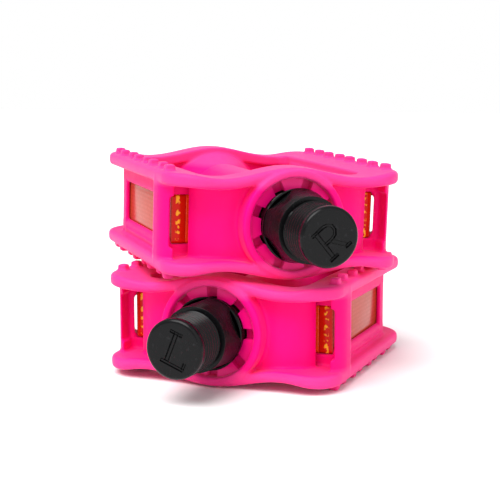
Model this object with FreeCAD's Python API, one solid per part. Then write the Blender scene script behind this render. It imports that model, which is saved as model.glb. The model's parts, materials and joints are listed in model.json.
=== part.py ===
"""A pair of children's bicycle pedals, the right one lying crosswise on the left one.

Each pedal is drawn in its own frame: the spindle axis is Y, the crank side faces -Y,
X runs across the two tread bars and Z is up.  The left pedal then stands on its lower
teeth and the right pedal is turned, tipped and set down on the left one's upper teeth.
The row's origin is the bottom centre of the pair's bounding box.
"""
import FreeCAD, Part
import math
import os

V = FreeCAD.Vector

# ---- driving dimensions, millimetres and degrees ----
cage_length = 65.8          # along the spindle, rim face to rim face
bar_out = 30.8              # half width over the tread bars
bar_in = 21.2               # inner edge of a tread bar
corner_r = 8.8              # plan radius of the rim corners
rim_depth = 8.0             # how far a rim's flange reaches into the cage
rim_hole_r = 3.0            # plan radius of the opening's corners

crown_z = 13.6              # rim height over the collar
dip_x, dip_z = 17.9, 11.05  # lowest point of the wavy rim
bar_x, bar_z = 28.0, 12.2   # where the wave has climbed to the tread bar
rim_t = 2.67                # rim thickness from the crown to the dip
bar_under_share = 0.5       # share of the climb that the rim's underside follows
rim_round = 1.1             # rounding of the rim's outer edges

tooth_z = 13.7              # height of the tooth tops above the spindle axis
tooth_base_w, tooth_top_w = 2.8, 2.0
tooth_len = 2.3
tooth_x = 28.3              # middle of a tooth
tooth_stagger = 0.4         # the two teeth of a pair stand this much apart in X
tooth_first_y = 9.2
tooth_pitch = 6.75
tooth_pair_pull = 0.15      # the two teeth of a pair stand this much closer
tooth_count = 8
tooth_round = 0.3

web_y = 4.1                 # front of the web behind the rim face
web_t = 2.4
web_in_x = 8.0              # the webs start inside the collar's wall
web_arc_x, web_arc_r = 14.5, 9.7
web_turn_end = -22.0        # direction, from the arc's centre, where the web ends
post_r = 6.8                # outer corner radius of the slim corner post
post_cx, post_cy = 24.0, 13.0
slot_in_x = 27.8            # post side of the reflector slot
slot_notch_x = 28.65        # the slot is wider where the reflector slides in
slot_notch_half_h = 6.15
post_step_y = 12.4          # the slot narrows to the reflector's pocket here
post_gap_x = 27.3           # the window reaches in behind the post, from here
post_gap_lean = 0.5         # and the post's back leans outwards this much for each mm
wall_out = 28.0             # outer face of the side wall
outboard_web_x = 18.3       # where the outboard corner wall meets the web

collar_r, collar_bore_r = 13.2, 11.2
collar_proud = 0.75         # the collar stands in front of the rim face
collar_back = 9.3
collar_round = 0.6
barrel_r, barrel_bore_r = 9.6, 7.4
boss_r = 12.9
boss_face = 58.2            # inner face of the outboard boss

lens_t, back_t = 3.8, 0.9   # reflector lens and its back cover
lens_gap = 0.05
lens_out = 26.85            # outer face of the lens
lens_corner_r = 0.8
lens_y0, lens_y1 = 13.05, 52.0
lens_half_h = 6.0
window_half_h = 4.95
window_y0, window_y1 = 17.8, 50.2
rail_in = 20.9
lip_half_h = 4.5
sill_chamfer = 0.7
bead_r, bead_x, bead_z = 0.4, 28.05, 7.5    # bead along the foot of a side wall

thread_r = 7.14             # 9/16 inch by 20 threads per inch
tip_y = -20.6
tip_round = 1.0             # rounding of the tip's edge
root_y = -10.0              # where the thread ends
neck_r, neck_len = 6.6, 0.5
ring_r, ring_t = 7.9, 0.6   # thin flange behind the thread's root
cone_r = 7.6                # the cone starts this wide at the flange
shoulder_r = 8.9
shoulder_y0, shoulder_y1 = -2.6, -1.2
flat_distance = 8.0         # wrench flats, from the axis
flat_y0, flat_y1 = -8.8, -2.1
shaft_r0, shaft_r1 = 5.6, 4.3
shaft_end_y = 53.6
stud_r = 3.5
stud_end_y = 63.2
stud_chamfer = 0.5

ball_r = 1.984              # 5/32 inch
race_r = 2.05               # ball tracks are this round
in_circle, in_y, in_balls = 8.0, 5.9, 12
out_circle, out_y, out_balls = 6.6, 56.3, 10
in_cup_r, in_cup_back = 10.8, 9.3
out_cup_r, out_cup_front = 9.3, 52.9
cup_mouth = 2.5             # a cup's length past the ball centres, towards its mouth

keeper_in_r = 8.3           # castellated keeper ring in the collar's bore
keeper_y0, keeper_step, keeper_y1 = 0.9, 2.9, 3.3
notch_w, notch_count = 2.7, 8

cone_nut_rim = 0.9          # how far the cone nut reaches past its ball track
cone_nut_flat_x = 5.5
washer_t, nut_t = 0.8, 2.9
nut_across = 10.0
cap_r, cap_y0, cap_t = 9.9, 64.0, 1.6
cap_skirt, cap_dish_r, cap_dish = 0.9, 6.5, 0.35
fit_gap = 0.03              # radial gap between pieces that are pressed together

cone_nut_y1 = out_y + race_r + cone_nut_rim
washer_y0 = cone_nut_y1 + fit_gap
washer_y1 = washer_y0 + washer_t
nut_y0 = washer_y1 + fit_gap
nut_y1 = nut_y0 + nut_t

left_turn = {"flats": 22.0, "notches": 0.0}
right_turn = {"flats": 38.0, "notches": 25.5}
stack_shift_x, stack_shift_y, stack_rise = 18.34, 8.35, 26.04
stack_yaw, stack_pitch, stack_roll = 42.97, 2.0, 1.06


# ---- helpers ----
def box(x0, x1, y0, y1, z0, z1):
    return Part.makeBox(x1 - x0, y1 - y0, z1 - z0, V(x0, y0, z0))


def revolve(path):
    """Turn a closed outline of (radius, y) points about Y.  A point given as
    (r, y, r_mid, y_mid) is reached by an arc through the middle point."""
    edges = []
    last = V(path[-1][0], path[-1][1], 0)
    for point in path:
        here = V(point[0], point[1], 0)
        if len(point) == 4:
            edges.append(Part.Arc(last, V(point[2], point[3], 0), here).toShape())
        else:
            edges.append(Part.LineSegment(last, here).toShape())
        last = here
    face = Part.Face(Part.Wire(edges))
    return face.revolve(V(0, 0, 0), V(0, 1, 0), 360)


def tube(r_out, r_in, y0, y1):
    return revolve([(r_out, y0), (r_out, y1), (r_in, y1), (r_in, y0)])


def plan_prism(path, z0, z1):
    """Extrude a closed (x, y) outline upwards; arcs as in revolve()."""
    edges = []
    last = V(path[-1][0], path[-1][1], z0)
    for point in path:
        here = V(point[0], point[1], z0)
        if len(point) == 4:
            edges.append(Part.Arc(last, V(point[2], point[3], z0), here).toShape())
        else:
            edges.append(Part.LineSegment(last, here).toShape())
        last = here
    return Part.Face(Part.Wire(edges)).extrude(V(0, 0, z1 - z0))


def rounded_plan(half_w, y0, y1, r, z0, z1):
    """A block with vertical rounded corners."""
    block = box(-half_w, half_w, y0, y1, z0, z1)
    upright = [e for e in block.Edges if abs(e.tangentAt(e.FirstParameter).z) > 0.9]
    return block.makeFillet(r, upright)


def both_sides(shape):
    return [shape, shape.mirror(V(0, 0, 0), V(1, 0, 0))]


def all_four(shape):
    pair = both_sides(shape)
    return pair + [s.mirror(V(0, 0, 0), V(0, 0, 1)) for s in pair]


def polar(r, degrees):
    a = math.radians(degrees)
    return r * math.cos(a), r * math.sin(a)


# ---- cage ----
def rim_top(x):
    """Height of the wavy rim: high over the collar, low at the dip, up to the bar."""
    x = abs(x)
    if x < dip_x:
        return (crown_z + dip_z) / 2 + (crown_z - dip_z) / 2 * math.cos(math.pi * x / dip_x)
    climb = min(1.0, (x - dip_x) / (bar_x - dip_x))
    return dip_z + (bar_z - dip_z) * (1 - math.cos(math.pi * climb)) / 2


def rim_under(x):
    """The rim is even in thickness over the crown and thickens towards the tread bars."""
    return rim_top(min(abs(x), dip_x)) - rim_t + bar_under_share * (rim_top(max(abs(x), dip_x)) - dip_z)


def wave_face(upper, lower):
    """A face in XZ between two height functions, over the cage's whole width."""
    span = bar_out + 1.0
    steps = 28
    xs = [-span + 2 * span * i / steps for i in range(steps + 1)]
    top = Part.BSplineCurve()
    top.interpolate([V(x, 0, upper(x)) for x in xs])
    low = Part.BSplineCurve()
    low.interpolate([V(x, 0, lower(x)) for x in reversed(xs)])
    right = Part.LineSegment(V(span, 0, upper(span)), V(span, 0, lower(span)))
    left = Part.LineSegment(V(-span, 0, lower(span)), V(-span, 0, upper(span)))
    wire = Part.Wire([top.toShape(), right.toShape(), low.toShape(), left.toShape()])
    return Part.Face(wire)


def rim_frame():
    """The upper flange: both rims and both tread bars in one wavy ring."""
    reach = crown_z + 2.0
    wave = wave_face(rim_top, rim_under).extrude(V(0, cage_length + 4, 0))
    wave.translate(V(0, -2, 0))
    outline = rounded_plan(bar_out, 0, cage_length, corner_r, 0, reach)
    ring = wave.common(outline)
    outer = []
    for edge in ring.Edges:
        mid = edge.valueAt((edge.FirstParameter + edge.LastParameter) / 2)
        upright = abs(edge.tangentAt(edge.FirstParameter).z) > 0.9
        if not upright and mid.z > rim_under(0) - 4:
            outer.append(edge)
    ring = ring.makeFillet(rim_round, outer)
    hole = rounded_plan(bar_in, rim_depth, cage_length - rim_depth, rim_hole_r, 0, reach)
    return ring.cut(hole)


def inboard_web():
    """Right half of the crank-side web: flat by the collar, then turned in to the slot."""
    cy = web_y + web_arc_r
    halfway = (web_turn_end - 90) / 2
    x1, y1 = polar(web_arc_r, web_turn_end)
    xm, ym = polar(web_arc_r, halfway)
    x2, y2 = polar(web_arc_r - web_t, web_turn_end)
    xn, yn = polar(web_arc_r - web_t, halfway)
    return plan_prism([
        (web_in_x, web_y), (web_arc_x, web_y),
        (web_arc_x + x1, cy + y1, web_arc_x + xm, cy + ym),
        (web_arc_x + x2, cy + y2),
        (web_arc_x, web_y + web_t, web_arc_x + xn, cy + yn),
        (web_in_x, web_y + web_t)], -crown_z, crown_z)


def corner_post():
    """Slim rounded post between the slot and the side wall, undercut by the window."""
    start = math.degrees(math.asin((slot_in_x - post_cx) / post_r)) - 90
    x0, y0 = polar(post_r, start)
    xm, ym = polar(post_r, start / 2)
    pocket_x = lens_out + lens_gap
    post = plan_prism([
        (post_cx + x0, post_cy + y0),
        (post_cx + post_r, post_cy, post_cx + xm, post_cy + ym),
        (wall_out, window_y0, post_cx + post_r - 0.5, (post_cy + window_y0) / 2 + 0.6),
        (pocket_x, window_y0), (pocket_x, post_step_y),
        (slot_in_x, post_step_y - 0.8)], -crown_z, crown_z)
    notch = box(slot_in_x - 1, slot_notch_x, 0, post_step_y - 0.2, -slot_notch_half_h, slot_notch_half_h)
    run = window_y0 - post_step_y + 1
    gap = plan_prism([
        (pocket_x - 1, post_step_y), (post_gap_x, post_step_y),
        (post_gap_x + post_gap_lean * run, post_step_y + run),
        (pocket_x - 1, post_step_y + run)], -window_half_h, window_half_h)
    return post.cut(notch).cut(gap)


def outboard_wall():
    """Right half of the far web with its closed, rounded corner."""
    cx = outboard_web_x
    cy = cage_length - web_y - web_arc_r
    r0, r1 = web_arc_r, web_arc_r - web_t
    face = cage_length - web_y
    xm, ym = polar(r0, 45)
    xn, yn = polar(r1, 45)
    return plan_prism([
        (web_in_x, face), (cx, face),
        (cx + r0, cy, cx + xm, cy + ym),
        (cx + r0, window_y1), (lens_out + lens_gap, window_y1),
        (lens_out + lens_gap, lens_y1 + lens_gap), (cx + r1, cy),
        (cx, face - web_t, cx + xn, cy + yn),
        (web_in_x, face - web_t)], -crown_z, crown_z)


def side_rail():
    """Upper right channel that holds the reflector's top edge, as a section in XZ."""
    top = rim_under(bar_x) + 0.5
    seat = lens_half_h + lens_gap
    section = [(wall_out, top), (wall_out, window_half_h), (lens_out + lens_gap, window_half_h),
               (lens_out + lens_gap, seat), (lens_out - lens_t - back_t - lens_gap, seat),
               (lens_out - lens_t - back_t - lens_gap, lip_half_h), (rail_in, lip_half_h),
               (rail_in, top)]
    wire = Part.makePolygon([V(x, 0, z) for x, z in section + section[:1]])
    rail = Part.Face(wire).extrude(V(0, cage_length - post_cy - post_step_y + 0.9, 0))
    rail.translate(V(0, post_step_y, 0))
    lower_outer = [e for e in rail.Edges if e.BoundBox.YLength > 10
                   and abs(e.BoundBox.XMin - wall_out) < 0.01
                   and abs(e.BoundBox.ZMin - window_half_h) < 0.01]
    return rail.makeChamfer(sill_chamfer, lower_outer)


def wall_bead():
    """Thin bead along the foot of the right side wall."""
    start = V(bead_x, window_y0, -bead_z)
    return Part.makeCylinder(bead_r, window_y1 - window_y0, start, V(0, 1, 0))


def tooth(y, x):
    """A blunt wedge standing on the tread bar."""
    foot = bar_z - 0.6
    half = tooth_len / 2
    base, top = tooth_base_w / 2, tooth_top_w / 2
    wire = Part.makePolygon([V(x - base, 0, foot), V(x + base, 0, foot), V(x + top, 0, tooth_z),
                             V(x - top, 0, tooth_z), V(x - base, 0, foot)])
    wedge = Part.Face(wire).extrude(V(0, tooth_len, 0))
    wedge.translate(V(0, y - half, 0))
    upper = [e for e in wedge.Edges if e.BoundBox.ZMin > tooth_z - 0.01]
    return wedge.makeFillet(tooth_round, upper)


def teeth():
    """One bar's row, in pairs."""
    row = []
    for i in range(tooth_count):
        side = 1 if i % 2 else -1
        y = tooth_first_y + i * tooth_pitch - side * tooth_pair_pull
        row.append(tooth(y, tooth_x - side * tooth_stagger / 2))
    return row


def barrel():
    """Collar, tapered barrel and outboard boss, bored for the bearings."""
    front = -collar_proud
    end = cage_length + collar_proud
    body = revolve([
        (0.0, front), (collar_r - collar_round, front),
        (collar_r, front + collar_round, collar_r - 0.3 * collar_round, front + 0.3 * collar_round),
        (collar_r, collar_back - 1.0), (collar_r - 1.0, collar_back),
        (barrel_r, collar_back + 4.0),
        (barrel_r, out_cup_front - 1.5), (boss_r - 0.8, boss_face - 0.6),
        (boss_r, boss_face + 0.4), (collar_r, boss_face + 1.4),
        (collar_r, end - collar_round),
        (collar_r - collar_round, end, collar_r - 0.3 * collar_round, end - 0.3 * collar_round),
        (0.0, end)])
    bore = revolve([
        (0.0, front - 1), (collar_bore_r + 0.35, front - 1), (collar_bore_r + 0.35, front),
        (collar_bore_r, front + 0.5),
        (collar_bore_r, keeper_y1), (in_cup_r + fit_gap, keeper_y1),
        (in_cup_r + fit_gap, in_cup_back), (barrel_bore_r, in_cup_back),
        (barrel_bore_r, out_cup_front), (out_cup_r + fit_gap, out_cup_front),
        (out_cup_r + fit_gap, cap_y0 - 1.0), (cap_r + fit_gap, cap_y0 - 1.0),
        (cap_r + fit_gap, end + 1), (0.0, end + 1)])
    return body, bore


def cage():
    limit = wave_face(lambda x: rim_top(x) - rim_t / 2, lambda x: rim_t / 2 - rim_top(x))
    limit = limit.extrude(V(0, cage_length, 0))
    pieces = [rim_frame()]
    pieces.append(pieces[0].mirror(V(0, 0, 0), V(0, 0, 1)))
    for wall in (inboard_web(), corner_post(), outboard_wall()):
        pieces += both_sides(wall.common(limit))
    pieces += all_four(side_rail())
    pieces += both_sides(wall_bead())
    for wedge in teeth():
        pieces += all_four(wedge)
    body, bore = barrel()
    pieces.append(body)
    whole = pieces[0].multiFuse(pieces[1:])
    return whole.cut(bore).removeSplitter()


# ---- spindle and bearings ----
def spindle(turn):
    """Threaded stub, wrench flats, inner ball track, tapered shaft and far stud."""
    dip = race_r * math.sqrt(0.5)
    corner = tip_round * (1 - math.sqrt(0.5))
    ring_y0 = root_y + neck_len
    ring_y1 = ring_y0 + ring_t
    body = revolve([
        (0.0, tip_y), (thread_r - tip_round, tip_y),
        (thread_r, tip_y + tip_round, thread_r - corner, tip_y + corner),
        (thread_r, root_y), (neck_r, root_y), (neck_r, ring_y0), (ring_r, ring_y0),
        (ring_r, ring_y1), (cone_r, ring_y1), (shoulder_r, shoulder_y0),
        (shoulder_r, shoulder_y1), (in_circle, shoulder_y1), (in_circle, in_y - race_r),
        (in_circle - race_r, in_y, in_circle - dip, in_y - dip),
        (shaft_r0, in_y + 4.0), (shaft_r1, shaft_end_y - 2.0), (stud_r, shaft_end_y - 1.2),
        (stud_r, stud_end_y - stud_chamfer), (stud_r - stud_chamfer, stud_end_y), (0.0, stud_end_y)])
    for quarter in range(4):
        flat = box(flat_distance, 12, flat_y0, flat_y1, -8, 8)
        flat.rotate(V(0, 0, 0), V(0, -1, 0), turn["flats"] + 90 * quarter)
        body = body.cut(flat)
    return body


def inboard_cup():
    dip = race_r * math.sqrt(0.5)
    mouth = in_y - cup_mouth - 0.1
    return revolve([
        (in_cup_r, mouth), (in_cup_r, in_cup_back), (barrel_bore_r, in_cup_back),
        (barrel_bore_r, in_y + race_r), (in_circle, in_y + race_r),
        (in_circle + race_r, in_y, in_circle + dip, in_y + dip),
        (in_circle + race_r, mouth)])


def outboard_cup():
    dip = race_r * math.sqrt(0.5)
    mouth = out_y + cup_mouth
    return revolve([
        (out_cup_r, mouth), (out_cup_r, out_cup_front), (shaft_r1 + 1.2, out_cup_front),
        (shaft_r1 + 1.2, out_y - race_r), (out_circle, out_y - race_r),
        (out_circle + race_r, out_y, out_circle + dip, out_y - dip),
        (out_circle + race_r, mouth)])


def balls(circle_r, y, count):
    placed = []
    for i in range(count):
        x, z = polar(circle_r, 360 * i / count)
        placed.append(Part.makeSphere(ball_r, V(x, y, z)))
    return Part.makeCompound(placed)


def cone_nut():
    """Outboard inner track, screwed on to the stud, with two spanner flats."""
    dip = race_r * math.sqrt(0.5)
    bore_r = stud_r + fit_gap
    inner = out_circle - race_r
    body = revolve([
        (bore_r, shaft_end_y + 0.2), (inner, shaft_end_y + 0.2), (inner, out_y),
        (out_circle, out_y + race_r, out_circle - dip, out_y + dip),
        (out_circle, cone_nut_y1), (bore_r, cone_nut_y1)])
    for side in (-1, 1):
        across = box(cone_nut_flat_x, 9, out_y + race_r, cone_nut_y1 + 1, -8, 8)
        if side < 0:
            across = across.mirror(V(0, 0, 0), V(1, 0, 0))
        body = body.cut(across)
    return body


def lock_washer():
    return tube(nut_across / 2 + 0.6, stud_r + fit_gap, washer_y0, washer_y1)


def lock_nut():
    corner = nut_across / 2 / math.cos(math.pi / 6)
    points = [V(corner * math.cos(math.pi * i / 3), 0, corner * math.sin(math.pi * i / 3))
              for i in range(7)]
    prism = Part.Face(Part.makePolygon(points)).extrude(V(0, nut_y1 - nut_y0, 0))
    prism.translate(V(0, nut_y0, 0))
    dome = revolve([(0.0, nut_y0), (corner, nut_y0), (corner, nut_y1 - 0.6),
                    (corner - 1.0, nut_y1), (0.0, nut_y1)])
    return prism.common(dome).cut(Part.makeCylinder(stud_r + fit_gap, 9, V(0, nut_y0 - 3, 0), V(0, 1, 0)))


def end_cap():
    """Snap-in dust cap with a short skirt and a shallow dished face."""
    return revolve([
        (0.0, cap_y0 + 0.2), (cap_dish_r, cap_y0 + 0.2), (cap_r - 1.0, cap_y0 - 0.2),
        (cap_r - 1.0, cap_y0 - cap_skirt), (cap_r, cap_y0 - cap_skirt),
        (cap_r, cap_y0 + cap_t - 0.4), (cap_r - 0.4, cap_y0 + cap_t),
        (cap_dish_r, cap_y0 + cap_t), (cap_dish_r - 1.0, cap_y0 + cap_t - cap_dish),
        (0.0, cap_y0 + cap_t - cap_dish)])


def keeper_ring(turn):
    """Castellated ring that keeps the inboard cup and the grit apart."""
    ring = tube(collar_bore_r - fit_gap, keeper_in_r, keeper_y0, keeper_y1 - fit_gap)
    for i in range(notch_count):
        gap = box(keeper_in_r - 1, collar_bore_r + 1, keeper_y0 - 1, keeper_step,
                  -notch_w / 2, notch_w / 2)
        gap.rotate(V(0, 0, 0), V(0, -1, 0), turn["notches"] + 360 * i / notch_count)
        ring = ring.cut(gap)
    return ring


# ---- reflectors ----
def slab(x0, x1):
    plate = box(x0, x1, lens_y0, lens_y1, -lens_half_h, lens_half_h)
    ends = [e for e in plate.Edges if e.BoundBox.XLength > 0.5]
    return plate.makeFillet(lens_corner_r, ends)


def reflector_lens():
    return slab(lens_out - lens_t, lens_out)


def reflector_back():
    return slab(lens_out - lens_t - back_t, lens_out - lens_t)


# ---- one pedal, then the pair ----
def pedal(turn):
    lens, back = reflector_lens(), reflector_back()
    across = V(1, 0, 0)
    return {
        "cage": cage(),
        "spindle": spindle(turn),
        "keeper_ring": keeper_ring(turn),
        "inboard_cup": inboard_cup(),
        "inboard_balls": balls(in_circle, in_y, in_balls),
        "outboard_cup": outboard_cup(),
        "outboard_balls": balls(out_circle, out_y, out_balls),
        "cone_nut": cone_nut(),
        "lock_washer": lock_washer(),
        "lock_nut": lock_nut(),
        "end_cap": end_cap(),
        "front_reflector_lens": lens,
        "front_reflector_back": back,
        "rear_reflector_lens": lens.mirror(V(0, 0, 0), across),
        "rear_reflector_back": back.mirror(V(0, 0, 0), across),
    }


def stacked(shape):
    """Turn, tip and lift a piece of the right pedal on to the left one."""
    shape = shape.copy()
    shape.rotate(V(0, 0, 0), V(0, 1, 0), stack_roll)
    shape.rotate(V(0, 0, 0), V(1, 0, 0), stack_pitch)
    shape.rotate(V(0, 0, 0), V(0, 0, 1), stack_yaw)
    shape.translate(V(stack_shift_x, stack_shift_y, stack_rise))
    return shape


def pair():
    nodes = {"left_" + name: shape for name, shape in pedal(left_turn).items()}
    for name, shape in pedal(right_turn).items():
        nodes["right_" + name] = stacked(shape)
    bounds = Part.makeCompound(list(nodes.values())).optimalBoundingBox(False, False)
    home = V(-bounds.Center.x, -bounds.Center.y, -bounds.ZMin)
    for shape in nodes.values():
        shape.translate(home)
    print("left pedal's frame sits at", home)
    print("overall size", bounds.XLength, bounds.YLength, bounds.ZLength)
    return nodes


os.makedirs("parts", exist_ok=True)
for name, shape in pair().items():
    shape.exportStep("parts/" + name + ".step")
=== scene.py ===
"""Looks for a stacked pair of children's bicycle pedals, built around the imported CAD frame.

Every piece is drawn in millimetres in its own pedal's frame and then placed: X runs across
the two tread bars, Y along the spindle away from the crank, Z up, and the origin is on the
spindle axis at the face of the crank-side rim.
"""

import json
import math

import bmesh
import bpy
import numpy as np
from mathutils import Matrix, Vector


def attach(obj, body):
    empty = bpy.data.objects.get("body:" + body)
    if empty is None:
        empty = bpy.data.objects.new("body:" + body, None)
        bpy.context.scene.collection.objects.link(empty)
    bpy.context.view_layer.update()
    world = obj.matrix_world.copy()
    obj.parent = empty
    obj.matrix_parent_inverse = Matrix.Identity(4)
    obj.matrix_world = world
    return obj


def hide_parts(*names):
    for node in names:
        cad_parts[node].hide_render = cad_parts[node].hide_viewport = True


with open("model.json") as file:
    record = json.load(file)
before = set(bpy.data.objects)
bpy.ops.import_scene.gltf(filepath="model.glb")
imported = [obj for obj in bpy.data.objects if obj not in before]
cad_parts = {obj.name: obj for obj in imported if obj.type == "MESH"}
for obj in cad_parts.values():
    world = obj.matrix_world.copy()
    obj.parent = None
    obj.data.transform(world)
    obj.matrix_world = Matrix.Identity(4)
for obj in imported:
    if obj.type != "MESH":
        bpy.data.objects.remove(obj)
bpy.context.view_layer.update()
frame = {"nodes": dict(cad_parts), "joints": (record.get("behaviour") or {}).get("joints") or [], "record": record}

MM = 0.001
PATTERN_SPACE = "pedal_mm"
SIDES = ("left", "right")
JOINTS = {joint["name"]: joint for joint in frame["joints"]}


# ---------------------------------------------------------------- frames and sizes
def mesh_points(node):
    """A CAD node's vertices at rest, in the row frame."""
    mesh = frame["nodes"][node].data
    points = np.zeros(len(mesh.vertices) * 3)
    mesh.vertices.foreach_get("co", points)
    return points.reshape(-1, 3)


def pedal_matrix(side):
    """The pedal's own frame, from its spindle joint and its two reflectors."""
    joint = JOINTS[side + "_spindle_spin"]
    along = -Vector(joint["axis"])
    front = Vector(mesh_points(side + "_front_reflector_lens").mean(0))
    rear = Vector(mesh_points(side + "_rear_reflector_lens").mean(0))
    across = front - rear
    across = (across - along * across.dot(along)).normalized()
    basis = Matrix((across, along, across.cross(along))).transposed()
    return Matrix.Translation(Vector(joint["pos_m"])) @ basis.to_4x4()


PEDAL = {side: pedal_matrix(side) for side in SIDES}


def side_of(node):
    return node.split("_")[0]


def local_mesh(node):
    """A copy of a CAD node's mesh in its pedal's frame, in millimetres."""
    mesh = frame["nodes"][node].data.copy()
    mesh.materials.clear()
    mesh.transform(Matrix.Scale(1 / MM, 4) @ PEDAL[side_of(node)].inverted())
    return mesh


def local_box(node):
    """A node's lowest and highest corner in its pedal's frame, in millimetres."""
    mesh = local_mesh(node)
    points = np.zeros(len(mesh.vertices) * 3)
    mesh.vertices.foreach_get("co", points)
    bpy.data.meshes.remove(mesh)
    points = points.reshape(-1, 3)
    return points.min(0), points.max(0)


# ---------------------------------------------------------------- mesh helpers
def mesh_object(name, mesh):
    obj = bpy.data.objects.new(name, mesh)
    bpy.context.scene.collection.objects.link(obj)
    return obj


def applied(obj):
    """Replace the object's mesh with what its modifiers make of it."""
    bpy.context.view_layer.update()
    graph = bpy.context.evaluated_depsgraph_get()
    mesh = bpy.data.meshes.new_from_object(obj.evaluated_get(graph), depsgraph=graph)
    obj.modifiers.clear()
    old = obj.data
    obj.data = mesh
    bpy.data.meshes.remove(old)
    return mesh


def modified(mesh, *steps):
    """The mesh after a stack of modifiers, each given as (type, settings)."""
    obj = mesh_object("workbench", mesh)
    for kind, settings in steps:
        modifier = obj.modifiers.new(kind, kind)
        for key, value in settings.items():
            setattr(modifier, key, value)
    result = applied(obj)
    bpy.data.objects.remove(obj)
    return result


def from_bmesh(name, bm):
    mesh = bpy.data.meshes.new(name)
    bm.to_mesh(mesh)
    bm.free()
    return mesh


def shade_smooth(mesh):
    mesh.polygons.foreach_set("use_smooth", [True] * len(mesh.polygons))
    mesh.update()


def place(mesh, name, node, slot):
    """Stand a local mesh in for a CAD node.  Its own frame's coordinates stay with it."""
    placed = mesh.copy()
    placed.name = name
    points = np.zeros(len(placed.vertices) * 3)
    placed.vertices.foreach_get("co", points)
    placed.attributes.new(PATTERN_SPACE, "FLOAT_VECTOR", "POINT").data.foreach_set("vector", points)
    placed.transform(PEDAL[side_of(node)] @ Matrix.Scale(MM, 4))
    placed.materials.clear()
    placed.materials.append(MATERIALS[slot])
    obj = mesh_object(name, placed)
    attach(obj, BODY_OF[node])
    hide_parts(node)
    return obj


# ---------------------------------------------------------------- materials
PINK = (0.90, 0.002, 0.195)
PINK_DEEP = (0.87, 0.0015, 0.180)
# Painted highlight: rims and tread bars, from 8.2 to 9.6 mm above or below the axis, are painted a paler pink.
PINK_PAINTED_HIGHLIGHT = (0.94, 0.038, 0.250)
PAINTED_HIGHLIGHT_FROM_Z = (8.2, 9.6)
BLACK = (0.0035, 0.0035, 0.004)
BLACK_WORN = (0.018, 0.018, 0.020)
AMBER = (0.46, 0.045, 0.020)
AMBER_FACE = (0.62, 0.085, 0.050)
AMBER_DEEP = (0.62, 0.012, 0.004)
ORANGE = (0.95, 0.11, 0.004)
ORANGE_DEEP = (0.80, 0.06, 0.002)
# Painted glints: gold standing in for sparkles of light off the reflector's prisms.
PAINTED_GLINT_GOLD = (1.0, 0.62, 0.03)
STEEL = (0.55, 0.55, 0.57)
BALL_STEEL = (0.75, 0.75, 0.77)
DULLED = 0.75

# Lengths in millimetres, but the shaders' own scales and bump distances in metres.
LENS_SKIN = (26.3, 26.7)
# Painted glints: a band across the lens's cut ends, at this distance across, where gold spots are painted in for
# sparkles of light.
PAINTED_GLINT_X, PAINTED_GLINT_HALF, PAINTED_GLINT_CORE = 25.05, 0.7, 0.6
COMB_SCALE, COMB_RANDOMNESS = 0.95, 0.12
PINK_ROUGHNESS = (0.40, 0.55)
BLACK_ROUGHNESS = (0.16, 0.34)
ORANGE_ROUGHNESS = (0.18, 0.35)
TURNING_GRAIN = (0.3, 9.0, 0.3)
CUP_WEAR, CUP_ROUGHNESS = (2.0, 0.2, 2.0), (0.25, 0.45)
BALL_WEAR, BALL_ROUGHNESS = (1.0, 1.0, 1.0), (0.06, 0.14)
PINK_SHADER = {
    "Specular IOR Level": 0.08,
    "Sheen Weight": 0.20,
    "Sheen Roughness": 0.3,
    "Sheen Tint": (1.0, 0.75, 0.9, 1),
    "Subsurface Weight": 0.12,
    "Subsurface Radius": (1.0, 0.15, 0.35),
    "Subsurface Scale": 0.0012,
}
BLACK_SHADER = {"Specular IOR Level": 0.17}
STEEL_SHADER = {"Metallic": 1.0}
AMBER_SHADER = {"Specular IOR Level": 0.13}


def new_material(name, color, roughness, shader=()):
    material = bpy.data.materials.new(name)
    material.use_nodes = True
    bsdf = material.node_tree.nodes["Principled BSDF"]
    bsdf.inputs["Base Color"].default_value = (*color, 1)
    bsdf.inputs["Roughness"].default_value = roughness
    for socket in shader:
        bsdf.inputs[socket].default_value = shader[socket]
    return material, bsdf


def add_node(material, kind, **inputs):
    node = material.node_tree.nodes.new(kind)
    for key, value in inputs.items():
        if key in node.inputs:
            node.inputs[key].default_value = value
        else:
            setattr(node, key, value)
    return node


def link(material, source, target):
    material.node_tree.links.new(source, target)


def node_coords(material, scale=(1, 1, 1)):
    """Texture coordinates for a CAD node that stays, in millimetres times the scale."""
    coord = add_node(material, "ShaderNodeTexCoord")
    mapping = add_node(material, "ShaderNodeMapping")
    mapping.inputs["Scale"].default_value = Vector(scale) / MM
    link(material, coord.outputs["Object"], mapping.inputs["Vector"])
    return mapping.outputs["Vector"]


def pedal_coords(material, scale=(1, 1, 1)):
    """Texture coordinates for a placed piece: its pedal's frame, in millimetres times the scale."""
    coord = add_node(material, "ShaderNodeAttribute", attribute_name=PATTERN_SPACE)
    mapping = add_node(material, "ShaderNodeMapping")
    mapping.inputs["Scale"].default_value = Vector(scale)
    link(material, coord.outputs["Vector"], mapping.inputs["Vector"])
    return mapping.outputs["Vector"]


def noise(material, coords, scale, detail=3.0, roughness=0.5):
    node = add_node(material, "ShaderNodeTexNoise", Scale=scale, Detail=detail, Roughness=roughness)
    link(material, coords, node.inputs["Vector"])
    return node.outputs["Fac"]


def mapped(material, value, low, high, from_low=0.0, from_high=1.0):
    node = add_node(material, "ShaderNodeMapRange")
    node.inputs["From Min"].default_value = from_low
    node.inputs["From Max"].default_value = from_high
    node.inputs["To Min"].default_value = low
    node.inputs["To Max"].default_value = high
    link(material, value, node.inputs["Value"])
    return node.outputs["Result"]


def mask(material, value, start, end):
    """0 up to the start and 1 from the end on."""
    return mapped(material, value, 0.0, 1.0, start, end)


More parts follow.
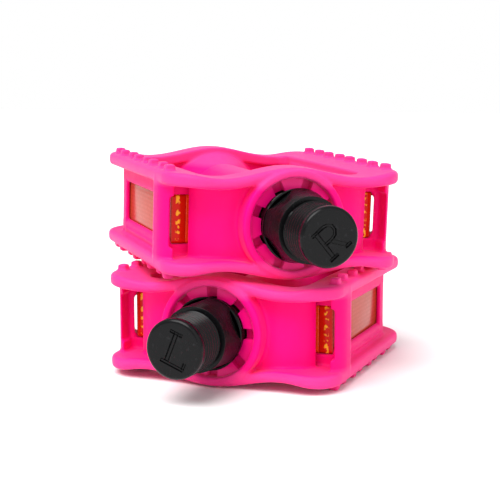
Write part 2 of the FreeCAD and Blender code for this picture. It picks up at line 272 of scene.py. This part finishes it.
def blended(material, factor, color_a, color_b):
    node = add_node(material, "ShaderNodeMix", data_type="RGBA")
    link(material, factor, node.inputs["Factor"])
    for socket, color in ((node.inputs[6], color_a), (node.inputs[7], color_b)):
        if isinstance(color, tuple):
            socket.default_value = (*color, 1)
        else:
            link(material, color, socket)
    return node.outputs[2]


def bumped(material, bsdf, height, strength, distance):
    bump = add_node(material, "ShaderNodeBump", Strength=strength, Distance=distance)
    link(material, height, bump.inputs["Height"])
    link(material, bump.outputs["Normal"], bsdf.inputs["Normal"])


def combined(material, operation, a, b):
    node = add_node(material, "ShaderNodeMath", operation=operation)
    link(material, a, node.inputs[0])
    if isinstance(b, float):
        node.inputs[1].default_value = b
    else:
        link(material, b, node.inputs[1])
    return node.outputs[0]


def pink_plastic():
    """Satin injection-moulded plastic: faint flow marks, fine texture, and a painted highlight: rims and bars
    painted paler than the webs.
    """
    m, bsdf = new_material("pink_plastic", PINK, PINK_ROUGHNESS[0], PINK_SHADER)
    coords = pedal_coords(m)
    flow = noise(m, coords, scale=0.06, detail=4.0)
    color = blended(m, mask(m, flow, 0.35, 0.65), PINK, PINK_DEEP)
    axes = add_node(m, "ShaderNodeSeparateXYZ")
    link(m, coords, axes.inputs["Vector"])
    height = combined(m, "ABSOLUTE", axes.outputs["Z"], 0.0)
    # Painted highlight: a paler pink is painted where the height above or below the axis passes 8.2 to 9.6 mm, on
    # rims and bars.
    link(m, blended(m, mask(m, height, *PAINTED_HIGHLIGHT_FROM_Z), color, PINK_PAINTED_HIGHLIGHT), bsdf.inputs["Base Color"])
    grain = noise(m, coords, scale=3.5)
    polish = noise(m, coords, scale=0.35, detail=4.0)
    link(m, mapped(m, polish, *PINK_ROUGHNESS), bsdf.inputs["Roughness"])
    bumped(m, bsdf, grain, strength=0.25, distance=0.00003)
    return m


def black_metal():
    """Black-finished steel: glossy, with fine turning marks and light scuffs."""
    m, bsdf = new_material("black_spindle", BLACK, BLACK_ROUGHNESS[1], BLACK_SHADER)
    turning = noise(m, pedal_coords(m, TURNING_GRAIN), scale=1.0, detail=2.0)
    scuffs = noise(m, pedal_coords(m), scale=1.1, detail=6.0, roughness=0.65)
    link(m, blended(m, mask(m, scuffs, 0.60, 0.75), BLACK, BLACK_WORN), bsdf.inputs["Base Color"])
    link(m, mapped(m, turning, *BLACK_ROUGHNESS), bsdf.inputs["Roughness"])
    bumped(m, bsdf, turning, strength=0.3, distance=0.00002)
    return m


def steel(name, color, roughness, scale):
    """Ground steel, duller and rougher where it is worn."""
    m, bsdf = new_material(name, color, roughness[0], STEEL_SHADER)
    wear = noise(m, node_coords(m, scale), scale=1.0, detail=4.0)
    link(m, mapped(m, wear, *roughness), bsdf.inputs["Roughness"])
    dull = tuple(c * DULLED for c in color)
    link(m, blended(m, mask(m, wear, 0.45, 0.7), color, dull), bsdf.inputs["Base Color"])
    return m


def amber_lens():
    """Amber acrylic over moulded prisms: a fine honeycomb, and painted glints in the cut ends, gold spots standing
    in for sparkles of light off the prisms.
    """
    m, bsdf = new_material("amber_lens", AMBER, 0.16, AMBER_SHADER)
    coords = pedal_coords(m)
    cells = add_node(m, "ShaderNodeTexVoronoi", feature="F1", Scale=COMB_SCALE, Randomness=COMB_RANDOMNESS)
    link(m, coords, cells.inputs["Vector"])
    comb = mask(m, cells.outputs["Distance"], 0.2, 0.6)
    face = blended(m, comb, AMBER_FACE, AMBER)
    axes = add_node(m, "ShaderNodeSeparateXYZ")
    link(m, coords, axes.inputs["Vector"])
    across = combined(m, "ABSOLUTE", axes.outputs["X"], 0.0)
    inside = mapped(m, across, 1.0, 0.0, *LENS_SKIN)
    off = combined(m, "ABSOLUTE", combined(m, "SUBTRACT", across, PAINTED_GLINT_X), 0.0)
    band = mapped(m, off, 1.0, 0.0, PAINTED_GLINT_HALF * PAINTED_GLINT_CORE, PAINTED_GLINT_HALF)
    # Painted glints: gold spots painted into a band across the cut ends, standing in for sparkles of light off the
    # prisms.
    painted_glint_spots = mask(m, noise(m, coords, scale=0.85, detail=1.0), 0.52, 0.60)
    painted_glints = combined(m, "MULTIPLY", band, painted_glint_spots)
    end = blended(m, painted_glints, AMBER_DEEP, PAINTED_GLINT_GOLD)
    link(m, blended(m, inside, face, end), bsdf.inputs["Base Color"])
    bumped(m, bsdf, cells.outputs["Distance"], strength=0.35, distance=0.0001)
    return m


def amber_back():
    """The glossy orange shell behind each lens, with faint flow marks."""
    m, bsdf = new_material("amber_back", ORANGE, ORANGE_ROUGHNESS[0])
    coords = pedal_coords(m)
    flow = noise(m, coords, scale=0.3)
    link(m, blended(m, flow, ORANGE, ORANGE_DEEP), bsdf.inputs["Base Color"])
    link(m, mapped(m, noise(m, coords, scale=1.5), *ORANGE_ROUGHNESS), bsdf.inputs["Roughness"])
    return m


MATERIALS = {
    "pink_plastic": pink_plastic(),
    "black_spindle": black_metal(),
    "bearing_steel": steel("bearing_steel", STEEL, CUP_ROUGHNESS, CUP_WEAR),
    "ball_steel": steel("ball_steel", BALL_STEEL, BALL_ROUGHNESS, BALL_WEAR),
    "amber_lens": amber_lens(),
    "amber_back": amber_back(),
}
BODY_OF = {}
for row in frame["record"]["subparts"]:
    node_mesh = frame["nodes"][row["node"]].data
    node_mesh.materials.clear()
    node_mesh.materials.append(MATERIALS[row["material_slot"]])
for body, nodes in frame["record"]["behaviour"]["bodies"].items():
    for node in nodes:
        BODY_OF[node] = body


# ---------------------------------------------------------------- moulded cages
VOXEL = 0.32
FILLET = 1.3
FILLET_STEPS = 70
FILLET_RATE = 0.7
SMOOTH_STEPS = 4
SMOOTH_IN, SMOOTH_OUT = 0.55, -0.30
FIRST_POLISH, LAST_POLISH = 0.4, 0.5
TEETH_HOLD = 0.8
CLOSE_FIT = 0.45
CAGE_FACES = 190000
TEETH_FROM_Z = 12.5
TEETH_X = (26.4, 30.2)


def moulded_cage():
    """The cage as it leaves the mould, with soft edges and filled inside corners."""
    mesh = modified(local_mesh("left_cage"), ("REMESH", {"mode": "VOXEL", "voxel_size": VOXEL}))
    points = np.zeros(len(mesh.vertices) * 3)
    mesh.vertices.foreach_get("co", points)
    points = points.reshape(-1, 3)
    ends = np.zeros(len(mesh.edges) * 2, dtype=np.int64)
    mesh.edges.foreach_get("vertices", ends)
    a, b = ends.reshape(-1, 2).T
    here = np.concatenate((a, b))
    there = np.concatenate((b, a))
    count = len(points)
    degree = np.bincount(here, minlength=count)

    def pull():
        mean = [np.bincount(here, weights=points[there, k], minlength=count) / degree for k in range(3)]
        return np.stack(mean, axis=1) - points

    room = free_of_reflectors(points)
    ease = (1 - TEETH_HOLD * on_teeth(points))[:, None]
    for step in range(SMOOTH_STEPS):
        points += pull() * ease * (SMOOTH_OUT if step % 2 else SMOOTH_IN)
    points += pull() * ease * FIRST_POLISH
    bias = VOXEL ** 2 / (4 * FILLET)
    normals = np.zeros(count * 3)
    for step in range(FILLET_STEPS):
        mesh.vertices.foreach_set("co", points.ravel())
        mesh.update()
        mesh.vertex_normals.foreach_get("vector", normals)
        n = normals.reshape(-1, 3)
        rise = np.maximum((pull() * n).sum(axis=1) - bias, 0) * room
        points += n * (rise * FILLET_RATE)[:, None]
    points += pull() * ease * LAST_POLISH
    mesh.vertices.foreach_set("co", points.ravel())
    mesh.update()
    triangles = 2 * len(mesh.polygons)
    mesh = modified(mesh, ("DECIMATE", {"ratio": min(1.0, CAGE_FACES / triangles)}))
    shade_smooth(mesh)
    return mesh


def on_teeth(points):
    """1 on the teeth, which keep their edges, else 0."""
    x, z = np.abs(points[:, 0]), np.abs(points[:, 2])
    return ((z > TEETH_FROM_Z) & (x > TEETH_X[0]) & (x < TEETH_X[1])).astype(float)


def free_of_reflectors(points):
    """0 beside the reflectors and the keeper ring, which keep their close fit, else 1."""
    room = np.ones(len(points))
    for node in ("front_reflector_lens", "front_reflector_back", "rear_reflector_lens",
                 "rear_reflector_back", "keeper_ring", "end_cap"):
        low, high = local_box("left_" + node)
        near = ((points > low - CLOSE_FIT) & (points < high + CLOSE_FIT)).all(axis=1)
        room[near] = 0
    return room


cage = moulded_cage()
for side in SIDES:
    place(cage, side + "_cage_moulding", side + "_cage", "pink_plastic")


# ---------------------------------------------------------------- spindles
SEGMENTS = 240
SAME_PLACE = 1e-6
WELD = 1e-4
TIP_ROUND = 1.0
THREAD_START_R = 7.08
THREAD_CREST_R = 7.13
THREAD_DEPTH = 0.72
THREAD_LEAD = (0.5, 1.2)
THREAD_PITCH = 1.27
THREAD_ROWS = 14
THREAD_RUNOUT = 0.3
THREAD_END_FROM_TIP = 10.7
NECK_R = 6.45
RING_FROM_TIP, RING_R, RING_T, RING_SOFT = 11.1, 7.95, 0.6, 0.1
CONE_R = 7.6
CONE_STEPS = 40
SHOULDER_R, SHOULDER_SOFT = 8.9, 0.2
SHOULDER_FROM_TIP = (18.0, 19.4)
SHOULDER_LAND = 0.25
CONE_GAP = 0.1
BEFORE_ALL = -1e3
SHAFT_START = ((3.85, 8.0), (4.6, 6.4), (5.9, 5.95), (9.9, 5.6))
SHAFT_END = ((-11.6, 4.3), (-10.8, 3.5), (-0.5, 3.5), (0, 3.0))
FLAT_DISTANCE, FLAT_SOFT, FLAT_END = 8.0, 0.12, 0.03
FLAT_FROM_TIP = (11.8, 18.45)
FLAT_TURN = {"left": math.radians(22), "right": math.radians(38)}
LETTER_TURN = {"left": math.radians(-22), "right": math.radians(41)}
LETTER_FLOOR = 0.15
LETTER_GROOVE = (0.25, 0.5)
LETTER_STAGGER = 0.006
LETTER_PROUD = 0.5
LETTER_SCALE = 1.1
LETTER_SHIFT = {"left": (0.75, -0.1), "right": (-0.05, -0.75)}
HAND = {"left": 1, "right": -1}


def smooth_min(a, b, soft):
    h = np.maximum(soft - np.abs(a - b), 0) / soft
    return np.minimum(a, b) - h * h * soft / 4


def smooth_step(x):
    x = np.clip(x, 0, 1)
    return x * x * (3 - 2 * x)


def thread_height(phase):
    """0 at the root and 1 at the crest of a 60 degree thread with blunt crests."""
    slope = abs(phase % 1.0 - 0.5) * 2
    return min(max((slope - 0.16) / 0.7, 0.0), 1.0)


def grid_faces(bm, rows):
    """Join neighbouring closed rows of vertices with quads."""
    for a, b in zip(rows, rows[1:]):
        for i in range(len(a)):
            j = (i + 1) % len(a)
            bm.faces.new((a[i], a[j], b[j], b[i]))


def turned_rows(bm, profile, angles, flats=None):
    rows = []
    for y, radius in profile:
        r = np.full(len(angles), float(radius))
        if flats and flats[0] < y < flats[1]:
            off = (angles - flats[2] + math.pi / 4) % (math.pi / 2) - math.pi / 4
            r = smooth_min(r, FLAT_DISTANCE / np.cos(off), FLAT_SOFT)
        rows.append([bm.verts.new((ri * math.cos(a), y, ri * math.sin(a)))
                     for ri, a in zip(r, angles)])
    grid_faces(bm, rows)
    return rows


def thread_rows(bm, y0, y1, angles, hand):
    """Rows that follow the helix, so that every crest is one clean line of edges."""
    turns = (y1 - y0) / THREAD_PITCH + 1
    columns = []
    share = np.append(angles, 2 * math.pi) / (2 * math.pi)
    for part in share:
        lead = part if hand > 0 else 1 - part
        column = []
        for k in range(int(turns * THREAD_ROWS) + THREAD_ROWS + 2):
            y = min(max(y0 + THREAD_PITCH * (k / THREAD_ROWS - 1 + lead), y0), y1)
            full = THREAD_CREST_R - THREAD_DEPTH * (1 - thread_height(k / THREAD_ROWS))
            grown = smooth_step((y - y0 - THREAD_LEAD[0]) / THREAD_LEAD[1])
            r = THREAD_START_R + (full - THREAD_START_R) * grown
            r = NECK_R + (r - NECK_R) * smooth_step((y1 - y) / THREAD_RUNOUT)
            a = part * 2 * math.pi
            column.append(bm.verts.new((r * math.cos(a), y, r * math.sin(a))))
        columns.append(column)
    for a, b in zip(columns, columns[1:]):
        for k in range(len(a) - 1):
            if abs(a[k].co.y - a[k + 1].co.y) + abs(b[k].co.y - b[k + 1].co.y) > SAME_PLACE:
                bm.faces.new((a[k], b[k], b[k + 1], a[k + 1]))


def arc_points(center, r, start, end, steps):
    """(y, radius) points on an arc about a (y, radius) centre, angles from the +Y direction."""
    out = []
    for k in range(steps + 1):
        t = math.radians(start + (end - start) * k / steps)
        out.append((center[0] + r * math.cos(t), center[1] + r * math.sin(t)))
    return out


def spindle_mesh(side):
    low, high = local_box(side + "_spindle")
    tip, end = low[1], high[1]
    angles = np.arange(SEGMENTS) * 2 * math.pi / SEGMENTS
    bm = bmesh.new()
    thread_y0 = tip + TIP_ROUND
    thread_y1 = tip + THREAD_END_FROM_TIP
    face_r = THREAD_START_R - TIP_ROUND
    front = arc_points((thread_y0, face_r), TIP_ROUND, 180, 90, 8)
    bm.faces.new(turned_rows(bm, front, angles)[0])
    thread_rows(bm, thread_y0, thread_y1, angles, HAND[side])
    ring_y0 = tip + RING_FROM_TIP
    ring_y1 = ring_y0 + RING_T
    behind = [(thread_y1, NECK_R), (ring_y0, NECK_R), (ring_y0, RING_R - RING_SOFT)]
    behind += arc_points((ring_y0 + RING_SOFT, RING_R - RING_SOFT), RING_SOFT, 180, 0, 8)[1:]
    behind += [(ring_y1, CONE_R)]
    shoulder_y0, shoulder_y1 = (tip + d for d in SHOULDER_FROM_TIP)
    flat_y0, flat_y1 = (tip + d for d in FLAT_FROM_TIP)
    for k in range(1, CONE_STEPS):
        t = k / CONE_STEPS
        behind.append((ring_y1 + (shoulder_y0 - ring_y1) * t, CONE_R + (SHOULDER_R - CONE_R) * t))
    slope = (SHOULDER_R - CONE_R) / (shoulder_y0 - ring_y1)
    behind = [p for p in behind if abs(p[0] - flat_y1) > CONE_GAP]
    for y in (flat_y1 - FLAT_END, flat_y1 + FLAT_END):
        behind.append((y, CONE_R + slope * (y - ring_y1)))
    behind.sort(key=lambda p: p[0] if p[0] > ring_y1 else BEFORE_ALL)
    behind += [(shoulder_y0, SHOULDER_R), (shoulder_y1 - SHOULDER_LAND, SHOULDER_R)]
    behind += arc_points((shoulder_y1 - SHOULDER_SOFT, SHOULDER_R - SHOULDER_SOFT),
                         SHOULDER_SOFT, 90, 0, 5)[1:]
    behind += [(shoulder_y1, SHAFT_START[0][1])]
    behind += list(SHAFT_START)
    behind += [(end + back, r) for back, r in SHAFT_END]
    rows = turned_rows(bm, behind, angles, (flat_y0, flat_y1, FLAT_TURN[side]))
    bm.faces.new(list(reversed(rows[-1])))
    bmesh.ops.remove_doubles(bm, verts=bm.verts, dist=WELD)
    bmesh.ops.recalc_face_normals(bm, faces=bm.faces)
    return from_bmesh("spindle", bm)


def stroke(bm, points, offset, width, y0, y1):
    """An upright ribbon beside a line of (x, z) points, as a closed prism for cutting."""
    left, right = [], []
    for i, p in enumerate(points):
        before = Vector(points[max(i - 1, 0)])
        after = Vector(points[min(i + 1, len(points) - 1)])
        along = (after - before).normalized()
        across = Vector((-along.y, along.x))
        left.append(Vector(p) + across * (offset + width / 2))
        right.append(Vector(p) + across * (offset - width / 2))
    outline = left + right[::-1]
    front = [bm.verts.new((p.x, y0, p.y)) for p in outline]
    back = [bm.verts.new((p.x, y1, p.y)) for p in outline]
    count = len(outline)
    for i in range(len(left) - 1):
        j = count - 1 - i
        bm.faces.new((front[i], front[i + 1], front[j - 1], front[j]))
        bm.faces.new((back[j], back[j - 1], back[i + 1], back[i]))
    for i in range(count):
        j = (i + 1) % count
        bm.faces.new((front[j], front[i], back[i], back[j]))


# Each letter's strokes: (x, z) points and a width, before LETTER_SCALE.
SIDE_MARKS = {
    "left": [([(-1.3, -3.1), (-1.3, 3.5)], 1.05), ([(-2.8, 3.3), (0.2, 3.3)], 0.75),
             ([(-2.6, -3.3), (2.9, -3.3)], 0.85), ([(2.65, -3.3), (2.65, -1.7)], 0.75)],
    "right": [([(-1.5, -3.1), (-1.5, 3.3)], 1.05), ([(-2.6, -3.3), (-0.3, -3.3)], 0.75),
              ([(-2.6, 3.3), (0.6, 3.3), (1.6, 3.0), (2.2, 2.2),
                (2.2, 1.2), (1.6, 0.4), (0.6, 0.1), (-1.4, 0.1)], 0.8),
              ([(0.2, 0.0), (2.5, -3.3)], 1.0), ([(1.7, -3.3), (3.4, -3.3)], 0.75)],
}


def side_mark(side, face_y):
    """A cutter for the side letter: a shallow stroke with a deeper groove along each edge."""
    bm = bmesh.new()
    groove, depth = LETTER_GROOVE
    cuts = []
    for points, width in SIDE_MARKS[side]:
        cuts.append((points, 0, width, LETTER_FLOOR))
        for way in (-1, 1):
            cuts.append((points, way * (width - groove) / 2, groove, depth))
    for k, (points, offset, width, deep) in enumerate(cuts):
        stagger = LETTER_STAGGER * k
        stroke(bm, points, offset, width, face_y - LETTER_PROUD - stagger, face_y + deep + stagger)
    size = Matrix.Diagonal((LETTER_SCALE, 1, LETTER_SCALE, 1))
    shift = Matrix.Translation((LETTER_SHIFT[side][0], 0, LETTER_SHIFT[side][1]))
    bm.transform(shift @ Matrix.Rotation(-LETTER_TURN[side], 4, "Y") @ size)
    bmesh.ops.recalc_face_normals(bm, faces=bm.faces)
    return from_bmesh("side_mark", bm)


def engraved(mesh, cutter_mesh):
    cutter = mesh_object("cutter", cutter_mesh)
    settings = {"operation": "DIFFERENCE", "object": cutter, "solver": "EXACT", "use_self": True}
    result = modified(mesh, ("BOOLEAN", settings))
    bpy.data.objects.remove(cutter)
    return result


for side in SIDES:
    low, high = local_box(side + "_spindle")
    mesh = engraved(spindle_mesh(side), side_mark(side, low[1]))
    shade_smooth(mesh)
    mesh.set_sharp_from_angle(angle=math.radians(38))
    place(mesh, side + "_spindle_turned", side + "_spindle", "black_spindle")


# ---------------------------------------------------------------- keeper rings, caps and reflector backs
EASE_SEGMENTS = 3
RING_EASE, CAP_EASE, LENS_EASE, BACK_EASE = 0.12, 0.2, 0.18, 0.15


def eased(node, width):
    """A CAD node's shape with its sharp edges eased."""
    bm = bmesh.new()
    source = local_mesh(node)
    bm.from_mesh(source)
    bpy.data.meshes.remove(source)
    bmesh.ops.remove_doubles(bm, verts=bm.verts, dist=WELD)
    bmesh.ops.dissolve_limit(bm, angle_limit=math.radians(1.0), verts=bm.verts, edges=bm.edges)
    mesh = from_bmesh("eased", bm)
    settings = {"width": width, "segments": EASE_SEGMENTS, "limit_method": "ANGLE",
                "angle_limit": math.radians(35), "harden_normals": False}
    mesh = modified(mesh, ("BEVEL", settings))
    shade_smooth(mesh)
    mesh.set_sharp_from_angle(angle=math.radians(45))
    return mesh


for side in SIDES:
    for part, width in (("_keeper_ring", RING_EASE), ("_end_cap", CAP_EASE)):
        node = side + part
        place(eased(node, width), node + "_moulding", node, "pink_plastic")


# ---------------------------------------------------------------- reflectors
for side in SIDES:
    for end in ("front", "rear"):
        node = "%s_%s_reflector_lens" % (side, end)
        place(eased(node, LENS_EASE), node + "_moulding", node, "amber_lens")
        node = "%s_%s_reflector_back" % (side, end)
        place(eased(node, BACK_EASE), node + "_moulding", node, "amber_back")


# ---------------------------------------------------------------- floor, light and camera
FLOOR_HALF = 3.0
FLOOR_GREY = (0.92, 0.92, 0.92)
ROOM_LIGHT = 0.55
BACKDROP_LIGHT = 1.0


def add_floor():
    h = FLOOR_HALF
    mesh = bpy.data.meshes.new("floor")
    mesh.from_pydata([(-h, -h, 0), (h, -h, 0), (h, h, 0), (-h, h, 0)], [], [(0, 1, 2, 3)])
    floor = mesh_object("floor", mesh)
    mesh.materials.append(new_material("floor_paper", FLOOR_GREY, 0.7)[0])


def sun(name, toward, angle, strength):
    """A large soft source far away, angle degrees wide, so that the floor is lit evenly."""
    data = bpy.data.lights.new(name, "SUN")
    data.energy = strength
    data.angle = math.radians(angle)
    lamp = bpy.data.objects.new(name, data)
    lamp.rotation_euler = Vector(toward).to_track_quat("-Z", "Y").to_euler()
    bpy.context.scene.collection.objects.link(lamp)


def add_world(lighting):
    """A white studio: the backdrop shows pure white and lights the object less strongly."""
    world = bpy.data.worlds.new("studio")
    bpy.context.scene.world = world
    world.use_nodes = True
    tree = world.node_tree
    soft = tree.nodes["Background"]
    seen = tree.nodes.new("ShaderNodeBackground")
    for background, strength in ((soft, lighting), (seen, BACKDROP_LIGHT)):
        background.inputs["Color"].default_value = (1, 1, 1, 1)
        background.inputs["Strength"].default_value = strength
    path = tree.nodes.new("ShaderNodeLightPath")
    mix = tree.nodes.new("ShaderNodeMixShader")
    tree.links.new(path.outputs["Is Camera Ray"], mix.inputs[0])
    tree.links.new(soft.outputs[0], mix.inputs[1])
    tree.links.new(seen.outputs[0], mix.inputs[2])
    tree.links.new(mix.outputs[0], tree.nodes["World Output"].inputs["Surface"])


# The camera turns about the photo's middle, a point given in the lower pedal's frame.
VIEW_AZIMUTH = math.radians(22.13)
VIEW_ELEVATION = math.radians(7.98)
VIEW_DISTANCE = 0.27568
VIEW_LENS = 82.98
VIEW_TARGET = PEDAL["left"] @ (Vector((8.628, 4.019, 19.96)) * MM)


def add_camera():
    data = bpy.data.cameras.new("camera")
    data.lens = VIEW_LENS
    data.sensor_width = 36.0
    data.clip_start = 0.01
    camera = bpy.data.objects.new("camera", data)
    level = math.cos(VIEW_ELEVATION)
    forward = Vector((-math.sin(VIEW_AZIMUTH) * level, math.cos(VIEW_AZIMUTH) * level,
                      -math.sin(VIEW_ELEVATION)))
    camera.location = VIEW_TARGET - forward * VIEW_DISTANCE
    camera.rotation_euler = forward.to_track_quat("-Z", "Y").to_euler()
    bpy.context.scene.collection.objects.link(camera)
    bpy.context.scene.camera = camera


add_floor()
sun("key", toward=(0.12, 0.50, -0.85), angle=45, strength=3.7)
sun("fill", toward=(-0.75, 0.45, -0.35), angle=70, strength=0.8)
add_world(ROOM_LIGHT)
bpy.context.scene.view_settings.view_transform = "Standard"
add_camera()
